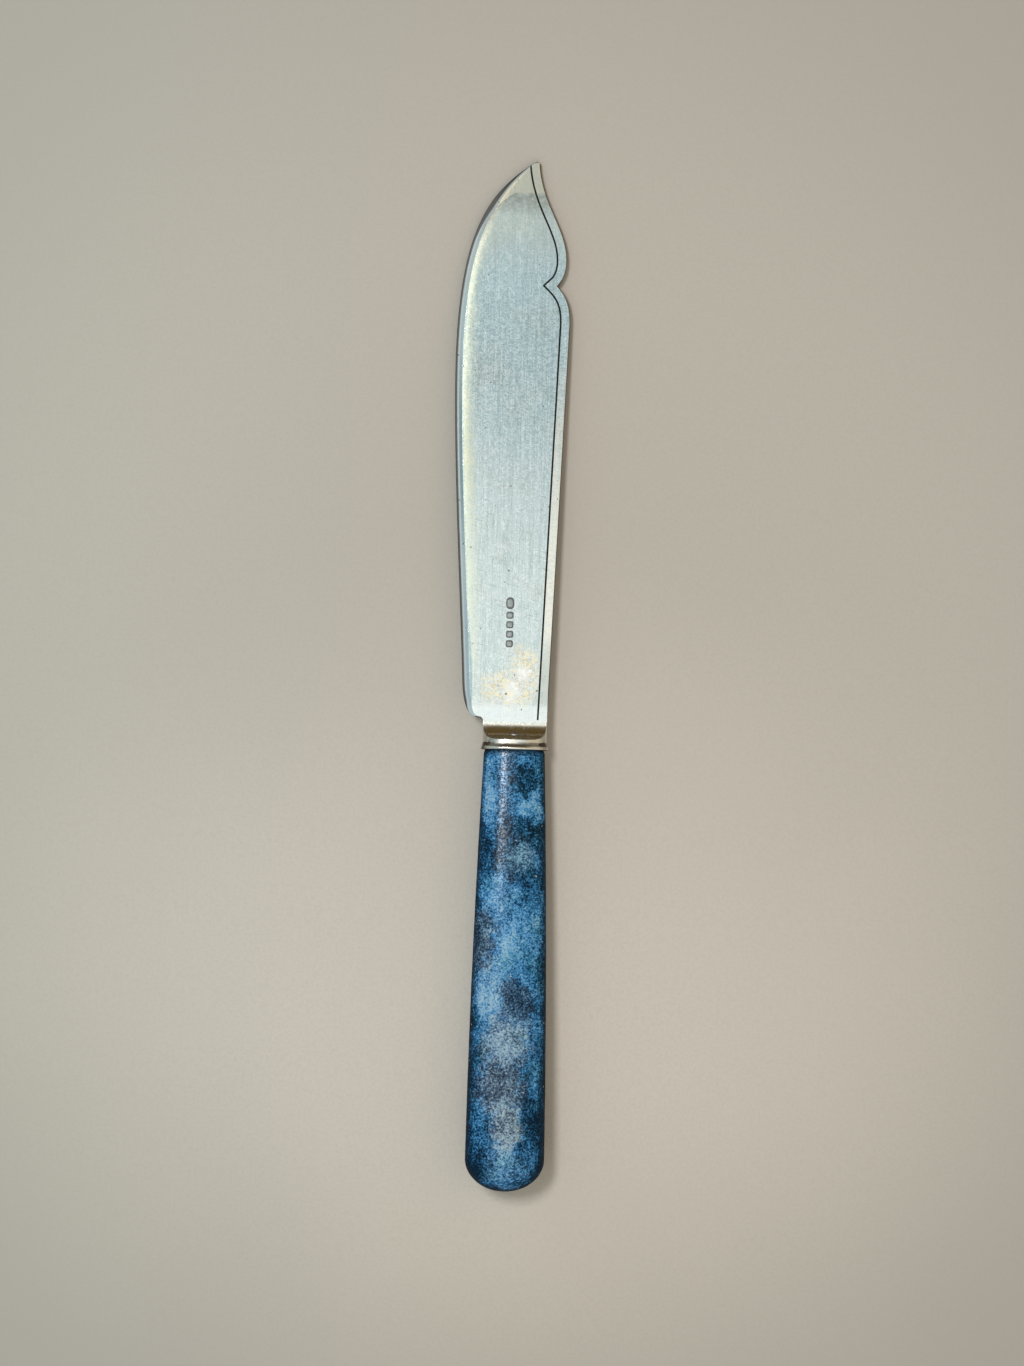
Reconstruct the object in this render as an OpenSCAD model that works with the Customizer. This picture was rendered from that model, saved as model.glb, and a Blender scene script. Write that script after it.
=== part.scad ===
// Fish knife, lying at rest on its flat side. Millimetres, +Z up, +Y towards the tip.
// Each piece is drawn along its own axis: y = 0 is the plane where the handle meets the collar,
// x points to the back of the blade, z is square to the blade. lay_at_rest() then tilts the whole
// knife so that the collar and the tip touch the table, with the origin under the middle.

/* [Blade] */
// Length from heel to tip
blade_len = 111.5; // [100:0.5:125]
// Sheet thickness
blade_t = 1.4; // [1.2:0.1:2]
// Handle axis to the cutting edge at its widest
belly_w = 13.6; // [12.5:0.1:16]
// Handle axis to the cutting edge above the heel
heel_w = 10.7; // [9.6:0.1:11.8]
// Height of the rounded heel
heel_rise = 7; // [5:0.5:9]
// Handle axis to the back at its widest, below the notch
back_w = 9.1; // [8:0.1:10.5]
// Handle axis to the crest of the lobe above the notch
lobe_w = 8.2; // [7.4:0.1:9.4]
// Place of the notch, as a share of the blade length
notch_pos = 0.777; // [0.74:0.001:0.81]
// Depth of the notch below the widest part of the back
notch_depth = 2.7; // [2:0.1:3.4]
// Side step of the tip from the handle axis
tip_x = 1.8; // [0:0.1:3.5]
// Length of the plain neck between heel and bolster
neck_len = 0.8; // [0.6:0.1:1.6]

/* [Edges] */
// Width of the ground bevel along the cutting edge
bevel_w = 1.4; // [1:0.1:2]
// Thickness left at the blunt cutting edge
edge_t = 0.4; // [0.2:0.05:0.6]
// Chamfer along the back
back_chamfer = 0.2; // [0.1:0.05:0.3]

/* [Engraved line] */
// Distance from the back
line_inset = 1.9; // [1.5:0.1:2.3]
// Width of the cut
line_w = 0.35; // [0.25:0.05:0.5]
// Depth of the cut
line_depth = 0.15; // [0.1:0.05:0.25]

/* [Bolster and collar] */
// Width of the neck and bolster
neck_w = 12.8; // [12:0.1:13.4]
// Thickness of the bolster
bolster_t = 8.2; // [7.6:0.1:9]
// Length of the bolster
bolster_len = 4.1; // [3.9:0.1:5.5]
// Step from the blade's face up to the nose of the bolster
nose_lip = 0.1; // [0.05:0.05:0.2]
// Width of the collar over its rim
collar_w = 13.5; // [13.2:0.1:14.5]
// Thickness of the collar over its rim
collar_t = 9.4; // [9:0.1:10.5]
// Length of the collar along the knife
collar_len = 1.5; // [1:0.1:2]
// Thickness of the collar's rim, from which it flares down to the bolster
rim_t = 0.35; // [0.25:0.05:0.5]

/* [Handle] */
// Length
handle_len = 88; // [80:1:100]
// Width at the collar
handle_top_w = 12.1; // [11:0.1:12.6]
// Thickness at the collar
handle_top_t = 7.8; // [7.4:0.1:8.4]
// Width at the butt
handle_butt_w = 15.8; // [13:0.1:17]
// Thickness at the butt
handle_butt_t = 9.8; // [8.6:0.1:11]
// Depth of the rounded butt
butt_round = 6.5; // [4:0.5:8]
// Swell of the long sides, 0 for a straight taper
handle_swell = 0.75; // [0:0.05:0.9]
// Squareness of the oval that handle, collar and bolster share, 2 for an ellipse
oval_square = 2.4; // [2:0.1:3]

/* [Stem, tang and cement] */
// Width of the blade's stem inside the bolster
stem_w = 7; // [6:0.1:8]
// Thickness of the blade's stem
stem_t = 0.8; // [0.6:0.1:1]
// Solid web between stem and spigot
web_t = 0.5; // [0.4:0.1:0.8]
// Diameter of the tang's spigot in the bolster
spigot_d = 4; // [3.5:0.1:4.2]
// Diameter of the tang at the collar
tang_d = 4.6; // [4.4:0.1:5]
// Diameter of the tang at its end
tang_end_d = 2.6; // [2.2:0.1:3]
// Length of the tang inside the handle
tang_len = 54; // [40:1:60]
// Grooves round the tang
groove_n = 5; // [3:1:7]
// Diameter of the drilled hole in the handle
bore_d = 6.4; // [6:0.1:6.8]
// Depth of the hole beyond the end of the tang
bore_spare = 3; // [1:0.5:6]
// Clearance round the soldered stem and spigot
fit = 0.05; // [0.02:0.01:0.1]
// Glue line on each side of the cement
bond = 0.02; // [0.01:0.01:0.05]

/* [Hidden] */
steps = 16;
around = 64;
$fn = 96;
silver = [0.80, 0.82, 0.81];
neck = neck_w / 2;
nose_y = collar_len + bolster_len;
heel_y = nose_y + neck_len;
tip_y = heel_y + blade_len;
notch_y = heel_y + notch_pos * blade_len;
belly_y = heel_y + 0.628 * blade_len;
lobe_y = notch_y + 0.2 * (tip_y - notch_y);
stem_len = (bolster_len - web_t) * 0.55;
spigot_len = bolster_len - web_t - stem_len;
cove_z = bolster_t / 2 + 0.3;
cove_r = cove_z - blade_t / 2 - nose_lip;
bore_len = tang_len + bore_spare;
tip_r = 0.6;
edge_run = 0.1;
line_run = 2;
over = 1;

// A cubic curve through p[0] and p[3]; its last point is left to the next stretch.
function curve(p, n) = [for (i = [0 : n - 1]) let (t = i / n, u = 1 - t)
    u * u * u * p[0] + 3 * u * u * t * p[1] + 3 * u * t * t * p[2] + t * t * t * p[3]];
function unit(v) = v / norm(v);
function left_of(v) = [-v.y, v.x];
function mix(a, b, t) = a + (b - a) * min(1, max(0, t));
function oval(w, t) = [for (i = [0 : around - 1]) let (c = cos(360 * i / around), d = sin(360 * i / around))
    [sign(c) * pow(abs(c), 2 / oval_square) * w / 2, sign(d) * pow(abs(d), 2 / oval_square) * t / 2]];
function xs(p) = [for (q = p) q.x];
function ys(p) = [for (q = p) q.y];

// The outline of the blade, up the back, over the tip and down the cutting edge.
notch_p = [back_w - notch_depth, notch_y];
back_run = [for (i = [0 : steps - 1])
    [mix(neck, back_w, i / steps), mix(nose_y, notch_y - 0.077 * blade_len, i / steps)]];
low_lobe = curve([[back_w, notch_y - 0.077 * blade_len],
                  [back_w + 0.2, notch_y - 0.04 * blade_len],
                  [back_w - notch_depth / 4, notch_y - 0.018 * blade_len],
                  notch_p], steps);
high_lobe = curve([notch_p,
                   [lobe_w - 0.7, notch_y + 0.009 * blade_len],
                   [lobe_w, mix(notch_y, lobe_y, 0.55)],
                   [lobe_w, lobe_y]], steps);
ogee = curve([[lobe_w, lobe_y],
              [lobe_w, mix(notch_y, tip_y, 0.46)],
              [tip_x + 1.3, mix(notch_y, tip_y, 0.643)],
              [tip_x + tip_r, tip_y - tip_r]], 2 * steps);
tip = curve([[tip_x + tip_r, tip_y - tip_r],
             [tip_x + 0.9 * tip_r, tip_y - tip_r / 6],
             [tip_x + tip_r / 6, tip_y + tip_r / 3],
             [tip_x - tip_r, tip_y - tip_r / 3]], 8);
edge_high = curve([[tip_x - tip_r, tip_y - tip_r / 3],
                   [-belly_w / 2, tip_y - 0.052 * blade_len],
                   [-belly_w, tip_y - 0.11 * blade_len],
                   [-belly_w, belly_y]], 3 * steps);
edge_low = curve([[-belly_w, belly_y],
                  [-belly_w, belly_y - 0.165 * blade_len],
                  [-heel_w - 0.9, heel_y + 0.23 * blade_len],
                  [-heel_w, heel_y + heel_rise]], steps);
heel = curve([[-heel_w, heel_y + heel_rise],
              [-heel_w + 0.2, heel_y + 0.43 * heel_rise],
              [-heel_w + 1.1, heel_y],
              [-neck - 1.25 * neck_len, heel_y]], steps);
step_in = concat(curve([[-neck - neck_len, heel_y],
                        [-neck - 0.45 * neck_len, heel_y],
                        [-neck, nose_y + 0.55 * neck_len],
                        [-neck, nose_y]], 6), [[-neck, nose_y]]);
outline = concat(back_run, low_lobe, high_lobe, ogee, tip, edge_high, edge_low, heel, step_in);
n_out = len(outline);

// How far the flat face stands in from the outline at each point: a fine chamfer along the back, the
// ground bevel along the cutting edge and round the heel, nothing at the joint with the bolster.
back_line = concat(back_run, low_lobe, high_lobe, ogee);
inset_w = concat([0],
    [for (i = [2 : len(back_line) + len(tip)]) back_chamfer],
    [for (i = [0 : len(edge_high) - 1]) mix(back_chamfer, bevel_w, 2.5 * i / len(edge_high))],
    [for (i = edge_low) bevel_w],
    [for (i = [0 : len(heel) - 1]) mix(bevel_w, back_chamfer, 1.6 * i / len(heel) - 0.6)],
    [for (i = [2 : len(step_in)]) back_chamfer * (1 - (i - 2) / len(step_in))],
    [0]);
// Half the thickness left at the outline, set by how wide the bevel is there.
function rim_z(w) = mix(blade_t / 2 - back_chamfer * 0.75, edge_t / 2,
    (w - back_chamfer) / (bevel_w - back_chamfer));
function inward(p, i) = let (m = len(p)) unit(left_of(p[(i + 1) % m] - p[(i + m - 1) % m]));
face_line = [for (i = [0 : n_out - 1]) outline[i] + inset_w[i] * inward(outline, i)];

// The line that runs d inside the back, with a sharp corner at the notch, and out over the tip.
function mitre(p, i) = let (a = unit(left_of(p[i] - p[i - 1])), b = unit(left_of(p[i + 1] - p[i])))
    (a + b) / (1 + a * b);
function beside_back(d) = let (
    line = [for (i = [0 : len(back_line) - 2])
        (i == 0 ? [mix(neck, back_w, 0.01), nose_y + neck_len / 2] : back_line[i])
        + d * (i == 0 ? inward(back_line, 1) : mitre(back_line, i))],
    m = len(line))
    concat(line, [line[m - 1] + line_run * unit(line[m - 1] - line[m - 2])]);

// The knife's place on the table: collar and tip touch, and the box's middle stands over the origin.
touch_y = max(ys(face_line));
collar_y = rim_t / 2;
rest_tilt = atan((collar_t - blade_t) / 2 / (touch_y - collar_y));
rest_z = blade_t / 2 * cos(rest_tilt) + touch_y * sin(rest_tilt);
mid_x = (max(xs(outline)) + min(xs(outline))) / 2;
mid_y = (max(ys(outline)) - handle_len) / 2 * cos(rest_tilt);

module lay_at_rest() {
    translate([-mid_x, -mid_y, rest_z])
        rotate([-rest_tilt, 0, 0])
            children();
}

// Turns a piece drawn round Z so that it stands along the knife.
module along_knife() {
    rotate([-90, 0, 0])
        children();
}

function at_height(p, z) = [for (q = p) [q.x, q.y, z]];
function mirror_z(p) = [for (q = p) [q.x, q.y, -q.z]];

// A closed skin through rings of points that all have the same length, with flat ends.
module skin(rings) {
    m = len(rings[0]);
    k = len(rings);
    bottom = [[for (i = [0 : m - 1]) i]];
    top = [[for (i = [0 : m - 1]) k * m - 1 - i]];
    sides = [for (r = [0 : k - 2], i = [0 : m - 1], half = [0, 1])
        let (j = (i + 1) % m, a = r * m, b = a + m)
        half == 0 ? [a + i, b + j, a + j] : [a + i, b + i, b + j]];
    polyhedron(points = [for (r = rings) each r], faces = concat(bottom, sides, top));
}

// The ground edges alone: bevels that rise from the outline and run on past both faces.
module edges() {
    past = [for (i = [0 : n_out - 1])
        let (e = rim_z(inset_w[i]), k = 1 + edge_run / (blade_t / 2 - e))
        concat(outline[i] + k * inset_w[i] * inward(outline, i), [blade_t / 2 + edge_run])];
    rim = [for (i = [0 : n_out - 1]) concat(outline[i], [rim_z(inset_w[i])])];
    skin([mirror_z(past), mirror_z(rim), rim, past]);
}

// The flat sheet, engraved, then ground to the outline.
module leaf() {
    intersection() {
        difference() {
            translate([-2 * belly_w, 0, -blade_t / 2])
                cube([4 * belly_w, tip_y + belly_w, blade_t]);
            engraved_line();
        }
        edges();
    }
}

module engraved_line() {
    outer = beside_back(line_inset - line_w / 2);
    inner = beside_back(line_inset + line_w / 2);
    m = len(inner);
    translate([0, 0, blade_t / 2 - line_depth])
        linear_extrude(height = line_depth + over)
            polygon(concat(outer, [for (i = [1 : m]) inner[m - i]]));
}

module stem(gap) {
    translate([-stem_w / 2 - gap, nose_y - stem_len - gap, -stem_t / 2 - gap])
        cube([stem_w + 2 * gap, stem_len + gap + over, stem_t + 2 * gap]);
}

module blade() {
    color(silver)
        lay_at_rest()
            union() {
                leaf();
                stem(0);
            }
}

module cove(side) {
    translate([-neck_w, nose_y, side * cove_z])
        rotate([0, 90, 0])
            cylinder(r = cove_r, h = 2 * neck_w);
}

module spigot(gap) {
    translate([0, collar_len - over, 0])
        along_knife()
            cylinder(d = spigot_d + 2 * gap, h = over + spigot_len + gap);
}

module bolster() {
    color(silver)
        lay_at_rest()
            difference() {
                translate([0, collar_len, 0])
                    along_knife()
                        linear_extrude(height = bolster_len)
                            polygon(oval(neck_w, bolster_t));
                cove(1);
                cove(-1);
                stem(fit);
                spigot(fit);
            }
}

// A trumpet: a rounded rim on the handle, then a hollow flare that ends flush with the bolster.
module collar() {
    rim = [for (a = [-90 : 30 : 60]) let (back = rim_t * (1 - cos(a)))
        at_height(oval(collar_w - back, collar_t - back), rim_t * (1 + sin(a)) / 2)];
    flare = [for (a = [80 : -20 : 0]) let (k = 1 - cos(a))
        at_height(oval(mix(neck_w, collar_w - rim_t / 2, k), mix(bolster_t, collar_t - rim_t / 2, k)),
            mix(collar_len, rim_t, sin(a)))];
    color(silver)
        lay_at_rest()
            difference() {
                along_knife()
                    skin(concat(rim, flare));
                translate([0, -over, 0])
                    along_knife()
                        cylinder(d = tang_d + 2 * fit, h = collar_len + 2 * over);
            }
}

// The tang's profile from its end up to its shoulder, drawn gap larger all round.
groove_w = 1.6;
groove_deep = 0.4;
function tang_r(s) = mix(tang_end_d, tang_d, s / tang_len) / 2;
function tang_profile(gap) = concat(
    [[0, -gap], [tang_end_d / 2 + gap, -gap]],
    [for (i = [1 : groove_n], e = [-1, 0, 1])
        let (s = tang_len * (0.1 + 0.75 * (i - 1) / (groove_n - 1)) + e * groove_w / 2)
        [tang_r(s) + gap - (e == 0 ? groove_deep : 0), s]],
    [[tang_d / 2 + gap, tang_len]]);

module tang() {
    color([0.42, 0.42, 0.44])
        lay_at_rest()
            union() {
                translate([0, -tang_len, 0])
                    along_knife()
                        rotate_extrude()
                            polygon(concat(tang_profile(0),
                                [[tang_d / 2, tang_len + collar_len], [0, tang_len + collar_len]]));
                spigot(0);
            }
}

// The drilled hole in the handle, with the cone that the drill leaves.
module bore(gap) {
    r = bore_d / 2 - gap;
    translate([0, -bore_len, 0])
        along_knife()
            rotate_extrude()
                polygon([[0, gap - r * 0.6], [r, 0], [r, bore_len], [0, bore_len]]);
}

module tang_cement() {
    color([0.45, 0.30, 0.18])
        lay_at_rest()
            difference() {
                bore(bond);
                translate([0, -tang_len, 0])
                    along_knife()
                        rotate_extrude()
                            polygon(concat(tang_profile(bond),
                                [[tang_d / 2 + bond, tang_len + over], [0, tang_len + over]]));
            }
}

// One oval section of the handle, s along it from the collar, shrunk by k round the butt.
function handle_ring(s, k) = let (
    f = min(1, s / (handle_len - butt_round)),
    g = f * (1 + handle_swell * (1 - f)))
    at_height(oval(k * mix(handle_top_w, handle_butt_w, g), k * mix(handle_top_t, handle_butt_t, g)), -s);

module handle() {
    straight = handle_len - butt_round;
    color([0.25, 0.42, 0.62])
        lay_at_rest()
            difference() {
                along_knife()
                    skin(concat(
                        [handle_ring(handle_len, 0.04)],
                        [for (a = [81 : -9 : 0]) handle_ring(straight + butt_round * sin(a), cos(a))],
                        [for (i = [7 : -1 : 0]) handle_ring(straight * i / 8, 1)]));
                bore(0);
            }
}

blade();
bolster();
collar();
tang();
tang_cement();
handle();
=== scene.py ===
import math
from functools import reduce
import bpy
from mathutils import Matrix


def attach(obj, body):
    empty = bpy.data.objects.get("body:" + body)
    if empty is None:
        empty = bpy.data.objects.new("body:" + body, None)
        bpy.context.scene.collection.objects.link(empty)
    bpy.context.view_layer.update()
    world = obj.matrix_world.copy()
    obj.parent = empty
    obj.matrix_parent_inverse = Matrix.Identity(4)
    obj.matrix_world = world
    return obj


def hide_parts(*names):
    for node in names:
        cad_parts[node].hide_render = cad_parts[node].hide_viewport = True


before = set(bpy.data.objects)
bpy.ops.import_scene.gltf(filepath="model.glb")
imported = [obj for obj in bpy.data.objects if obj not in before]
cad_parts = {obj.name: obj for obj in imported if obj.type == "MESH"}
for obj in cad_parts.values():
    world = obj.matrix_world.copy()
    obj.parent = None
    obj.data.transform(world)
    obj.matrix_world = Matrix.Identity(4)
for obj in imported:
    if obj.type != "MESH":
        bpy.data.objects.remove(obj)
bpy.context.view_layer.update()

from types import SimpleNamespace

import bmesh
import bpy
from bpy.props import FloatProperty, FloatVectorProperty, IntProperty, PointerProperty
from bpy.types import Operator, Panel, PropertyGroup
from mathutils import Matrix, Vector

bl_info = {
    "name": "Fish Knife",
    "version": (1, 0, 0),
    "blender": (4, 5, 0),
    "location": "3D View > Sidebar > Fish Knife",
    "description": "Dresses a fish knife: engraved blade, coved bolster, flared collar, mottled handle",
    "category": "Object",
}

BODY = "root"
MM = 0.001


# Settings that a user would change. Lengths are in metres, as Blender's scene is.

def size(label, about, default):
    return FloatProperty(name=label, description=about, default=default, min=0.0, unit="LENGTH", precision=5)


def share(label, about, default):
    return FloatProperty(name=label, description=about, default=default, min=0.0, max=1.0, subtype="FACTOR")


def tint(label, about, default):
    return FloatVectorProperty(name=label, description=about, default=default, size=3, min=0.0, max=1.0,
                               subtype="COLOR")


class BladeSettings(PropertyGroup):
    length: size("Length", "Heel to tip", 0.1115)
    sheet: size("Sheet", "Thickness of the flat leaf", 0.0014)
    belly: size("Belly", "Handle axis to the cutting edge at its widest", 0.0136)
    heel: size("Heel", "Handle axis to the cutting edge above the heel", 0.0107)
    heel_rise: size("Heel rise", "Height of the rounded heel", 0.007)
    back: size("Back", "Handle axis to the back at its widest", 0.0091)
    lobe: size("Lobe", "Handle axis to the crest above the notch", 0.0082)
    notch_place: share("Notch place", "Place of the notch along the blade", 0.777)
    notch_depth: size("Notch depth", "Depth of the notch below the back", 0.0027)
    tip_side: size("Tip side step", "Tip to the handle axis", 0.0018)
    neck_length: size("Neck length", "Plain neck between heel and bolster", 0.0008)
    bevel: size("Bevel", "Width of the ground bevel along the cutting edge", 0.0014)
    shoulder: size("Shoulder", "Width of the worn band beside the bevel", 0.0016)
    edge: size("Edge", "Thickness left at the blunt edge", 0.0004)
    chamfer: size("Chamfer", "Chamfer along the back", 0.0002)
    line_inset: size("Line inset", "Engraved line to the back", 0.0019)
    line_width: size("Line width", "Width of the engraved line", 0.00037)
    line_depth: size("Line depth", "Depth of the engraved line", 0.00013)
    stem_width: size("Stem width", "Width of the stem inside the bolster", 0.007)
    stem_sheet: size("Stem sheet", "Thickness of the stem", 0.0008)
    punch_count: IntProperty(name="Punches", description="Blank punch marks on the face", default=5, min=1)
    punch_size: size("Punch size", "Width of one punch mark", 0.00135)
    punch_pitch: size("Punch pitch", "Distance between punch marks", 0.0019)
    punch_depth: size("Punch depth", "Depth of a punch mark", 0.00009)


class FittingSettings(PropertyGroup):
    neck: size("Neck", "Width of neck and bolster", 0.0128)
    bolster: size("Bolster", "Thickness of the bolster", 0.0082)
    bolster_length: size("Bolster length", "Length of the bolster", 0.0041)
    nose_lip: size("Nose lip", "Step from the blade's face to the nose", 0.0001)
    arris: size("Arris", "Rounding where the cove meets the oval", 0.00022)
    collar_width: size("Collar width", "Width over the collar's rim", 0.0135)
    collar: size("Collar", "Thickness over the collar's rim", 0.0094)
    collar_length: size("Collar length", "Length of the collar", 0.0015)
    rim: size("Rim", "Thickness of the solid's thin rim, which sets the resting tilt", 0.00035)
    bead: size("Bead", "Thickness of the rounded bead on the rim", 0.0007)
    web: size("Web", "Solid metal between stem and spigot", 0.0005)
    spigot: size("Spigot", "Diameter of the spigot in the bolster", 0.004)
    tang: size("Tang", "Diameter of the tang at the collar", 0.0046)
    fit: size("Fit", "Clearance round stem, spigot and tang", 0.00005)


class HandleSettings(PropertyGroup):
    length: size("Length", "Length of the handle", 0.088)
    top_width: size("Top width", "Width at the collar", 0.0121)
    top: size("Top thickness", "Thickness at the collar", 0.0078)
    butt_width: size("Butt width", "Width at the butt", 0.0158)
    butt: size("Butt thickness", "Thickness at the butt", 0.0098)
    butt_round: size("Butt round", "Depth of the rounded butt", 0.0065)
    swell: share("Swell", "Swell of the long sides", 0.75)
    squareness: FloatProperty(name="Squareness", description="Squareness of the oval, 2 for an ellipse",
                              default=2.4, min=2.0, max=4.0)
    bore: size("Bore", "Diameter of the drilled hole", 0.0064)
    bore_depth: size("Bore depth", "Depth of the drilled hole", 0.057)
    waver: size("Waver", "Hand-worked unevenness of the surface", 0.00004)


class FinishSettings(PropertyGroup):
    silver: tint("Silver", "Worn silver", (0.62, 0.72, 0.72))
    tarnish: tint("Tarnish", "Warm bloom on the silver", (0.66, 0.61, 0.48))
    recess: tint("Recess", "Dirt in the engraved line", (0.010, 0.010, 0.010))
    deep: tint("Deep blue", "Darkest clouds of the handle", (0.002, 0.012, 0.026))
    navy: tint("Navy", "Dark body of the handle", (0.009, 0.055, 0.118))
    blue: tint("Blue", "Body colour of the handle", (0.030, 0.150, 0.325))
    sky: tint("Sky blue", "Light clouds of the handle", (0.090, 0.285, 0.520))
    pale: tint("Pale blue", "Palest clouds of the handle", (0.270, 0.430, 0.540))
    violet: tint("Violet grey", "Greyed clouds of the handle", (0.085, 0.110, 0.155))
    steel: tint("Steel", "Hidden tang", (0.260, 0.255, 0.250))
    cement: tint("Cement", "Resin round the tang", (0.075, 0.040, 0.020))
    table: tint("Table", "Plain table top", (0.571, 0.519, 0.452))


class StageSettings(PropertyGroup):
    camera_height: size("Camera height", "Camera above the blade", 1.200)
    view_height: size("View height", "Height of the picture at the blade", 0.2732)
    turn: FloatProperty(name="Turn", description="Turn of the picture about the vertical",
                        default=math.radians(1.378), subtype="ANGLE")
    level: FloatProperty(name="Level", description="Strength of the soft room light", default=1.68, min=0.0)
    lamp: FloatProperty(name="Lamp", description="Power of the lamp above", default=16.0, min=0.0,
                        unit="POWER")
    lamp_width: size("Lamp width", "Width of the lamp", 0.32)
    lamp_length: size("Lamp length", "Length of the lamp", 0.50)
    lamp_tint: tint("Lamp tint", "Colour of the lamp", (0.96, 0.98, 1.0))
    dome: tint("Dome", "Soft light round the zenith", (0.66, 0.66, 0.64))
    zenith: tint("Zenith", "Straight above, where the camera is", (0.595, 0.608, 0.588))
    shade: tint("Shade", "Dimmer part of the zenith", (0.247, 0.297, 0.314))
    aside: tint("Aside", "Just left of the zenith", (0.60, 0.62, 0.56))
    left: tint("Left side", "Light from the left", (0.27, 0.32, 0.33))
    right: tint("Right side", "Light from the right", (0.385, 0.335, 0.262))
    back: tint("Back", "Light from low down behind the handle", (0.40, 0.40, 0.39))
    wall: tint("Wall", "Dim wall beyond the tip", (0.062, 0.038, 0.009))
    horizon: tint("Horizon", "Light from low down", (0.11, 0.09, 0.07))


class KnifeSettings(PropertyGroup):
    blade: PointerProperty(type=BladeSettings)
    fittings: PointerProperty(type=FittingSettings)
    handle: PointerProperty(type=HandleSettings)
    finish: PointerProperty(type=FinishSettings)
    stage: PointerProperty(type=StageSettings)


# Node trees, for shaders and for geometry alike.

def arithmetic(operation, swapped=False):
    """A method that adds a Math node; a swapped one is for a wire on the right of its operator."""
    def method(self, other):
        return self.math(operation, *((other, self) if swapped else (self, other)))
    return method


class Wire:
    """One output socket, with arithmetic that adds Math nodes to its tree."""

    def __init__(self, board, socket):
        self.board = board
        self.socket = socket

    def math(self, operation, *values):
        return self.board.node("ShaderNodeMath", dict(enumerate(values)), operation=operation)[0]

    __add__, __radd__ = arithmetic("ADD"), arithmetic("ADD", True)
    __sub__, __rsub__ = arithmetic("SUBTRACT"), arithmetic("SUBTRACT", True)
    __mul__, __rmul__ = arithmetic("MULTIPLY"), arithmetic("MULTIPLY", True)
    __truediv__, __rtruediv__ = arithmetic("DIVIDE"), arithmetic("DIVIDE", True)
    __pow__, __rpow__ = arithmetic("POWER"), arithmetic("POWER", True)
    __lt__, __gt__ = arithmetic("LESS_THAN"), arithmetic("GREATER_THAN")
    larger = arithmetic("MAXIMUM")

    def __abs__(self):
        return self.math("ABSOLUTE", self)

    def clip(self):
        return self.board.node("ShaderNodeClamp", {0: self})[0]

    def rise(self, low, high):
        """0 below low, 1 above high, smooth between; low may be the larger one."""
        return self.board.node("ShaderNodeMapRange", {0: self, 1: low, 2: high},
                               interpolation_type="SMOOTHSTEP")[0]


class Outlets:
    """A new node's outputs, by name or by number."""

    def __init__(self, board, made):
        self.board = board
        self.made = made

    def __getitem__(self, key):
        return Wire(self.board, self.made.outputs[key])


class Board:
    """A node tree under construction."""

    def __init__(self, tree):
        self.tree = tree

    def node(self, kind, sockets=None, **settings):
        made = self.tree.nodes.new(kind)
        for key, value in settings.items():
            setattr(made, key, value)
        for key, value in (sockets or {}).items():
            socket = made.inputs[key]
            if isinstance(value, Wire):
                self.tree.links.new(value.socket, socket)
            elif socket.type == "RGBA":
                socket.default_value = (*value[:3], 1.0)
            else:
                socket.default_value = value
        return Outlets(self, made)

    def vector(self, operation, a, b):
        return self.node("ShaderNodeVectorMath", {0: a, 1: b}, operation=operation)[0]

    def parts(self, vector):
        split = self.node("ShaderNodeSeparateXYZ", {0: vector})
        return split[0], split[1], split[2]

    def noise(self, place, scale, detail, rough=0.5, out="Fac"):
        return self.node("ShaderNodeTexNoise", {"Vector": place, "Scale": scale, "Detail": detail,
                                                "Roughness": rough})[out]

    def ramp(self, level, *stops):
        """A colour ramp with stops, each a place and a colour."""
        ramp = self.node("ShaderNodeValToRGB", {0: level})
        points = ramp.made.color_ramp.elements
        points.remove(points[1])
        points[0].position, points[0].color = stops[0][0], (*stops[0][1], 1.0)
        for place, shade in stops[1:]:
            points.new(place).color = (*shade, 1.0)
        return ramp[0]

    def layers(self, colour, *coats):
        """Blends coats over a colour in turn, each a mask, a colour and, if not MIX, the way to blend."""
        for mask, coat, *how in coats:
            colour = self.node("ShaderNodeMix", {0: mask, 6: colour, 7: coat}, data_type="RGBA",
                               blend_type=how[0] if how else "MIX", clamp_factor=True)[2]
        return colour


class Finish(Board):
    """A material under construction; its spot is in millimetres along the knife's own axes."""

    def __init__(self, name):
        self.material = bpy.data.materials.new(name)
        self.material.use_nodes = True
        self.material.node_tree.nodes.clear()
        super().__init__(self.material.node_tree)
        plan = blade_plan()
        shifted = self.vector("SUBTRACT", self.node("ShaderNodeTexCoord")["Object"],
                              tuple(plan.rest.translation))
        level = self.node("ShaderNodeVectorRotate", {"Vector": shifted, "Angle": plan.tilt},
                          rotation_type="X_AXIS")[0]
        self.spot = self.vector("MULTIPLY", level, (1.0 / MM,) * 3)

    def grain(self, scale, detail, rough=0.5):
        return self.noise(self.spot, scale, detail, rough)

    def streaks(self, scale, detail, rough=0.5, turn=0.0, shift=(0.0, 0.0, 0.0)):
        """Noise with a scale for each axis, after a turn and a shift."""
        turned = self.node("ShaderNodeMapping", {"Vector": self.spot, "Rotation": (0.0, 0.0, turn),
                                                 "Location": shift}, vector_type="POINT")[0]
        return self.noise(self.vector("MULTIPLY", turned, scale), 1.0, detail, rough)

    def end(self, colour, roughness, height, depth, **more):
        """Adds the surface shader with a bump of the given depth; more names further sockets."""
        bump = self.node("ShaderNodeBump", {"Height": height, "Strength": 1.0, "Distance": depth})[0]
        others = {key.replace("_", " "): value for key, value in more.items()}
        surface = self.node("ShaderNodeBsdfPrincipled", {
            "Base Color": colour, "Roughness": roughness, "Normal": bump, **others})[0]
        self.node("ShaderNodeOutputMaterial", {"Surface": surface})
        return self.material


# Shared forms.

def settings():
    return bpy.context.scene.fish_knife


def between(a, b, f):
    return a + (b - a) * min(1.0, max(0.0, f))


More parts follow.
